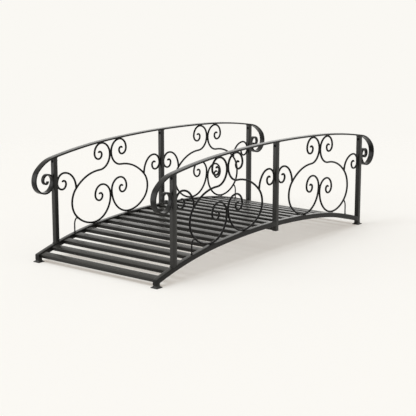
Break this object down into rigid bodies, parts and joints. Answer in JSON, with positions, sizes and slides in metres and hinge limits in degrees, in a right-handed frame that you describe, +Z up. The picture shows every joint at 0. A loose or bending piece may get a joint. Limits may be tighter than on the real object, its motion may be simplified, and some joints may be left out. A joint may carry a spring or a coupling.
{
  "type": "arched garden moon bridge",
  "caption": "Black steel garden bridge with a slatted arched deck, square posts, scrollwork rails and bowed handrails with rolled ends.",
  "frame": {"origin": "on the ground, midway between the handrail ends and midway between the two rails", "axes": "+X along the walkway, +Y across it from the front rail to the back rail, +Z up"},
  "size_m": [1.8416, 0.7874, 0.5524],
  "materials": {
    "frame": "satin black powder coat on mild steel",
    "feet": "moulded black plastic caps"
  },
  "bodies": {
    "root": {"front_left_stringer": "frame", "front_left_foot": "feet", "front_left_post": "frame", "front_left_rail_scroll": "frame", "front_right_stringer": "frame", "front_right_foot": "feet", "front_right_post": "frame", "front_right_rail_scroll": "frame", "front_middle_post": "frame", "front_handrail": "frame", "front_left_outer_scroll": "frame", "front_left_inner_scroll": "frame", "front_left_outer_curl": "frame", "front_left_inner_curl": "frame", "front_left_strut": "frame", "front_right_outer_scroll": "frame", "front_right_inner_scroll": "frame", "front_right_outer_curl": "frame", "front_right_inner_curl": "frame", "front_right_strut": "frame", "back_left_stringer": "frame", "back_left_foot": "feet", "back_left_post": "frame", "back_left_rail_scroll": "frame", "back_right_stringer": "frame", "back_right_foot": "feet", "back_right_post": "frame", "back_right_rail_scroll": "frame", "back_middle_post": "frame", "back_handrail": "frame", "back_left_outer_scroll": "frame", "back_left_inner_scroll": "frame", "back_left_outer_curl": "frame", "back_left_inner_curl": "frame", "back_left_strut": "frame", "back_right_outer_scroll": "frame", "back_right_inner_scroll": "frame", "back_right_outer_curl": "frame", "back_right_inner_curl": "frame", "back_right_strut": "frame", "middle_cross_beam": "frame", "left_deck_slats": "frame", "right_deck_slats": "frame"}
  },
  "joints": []
}
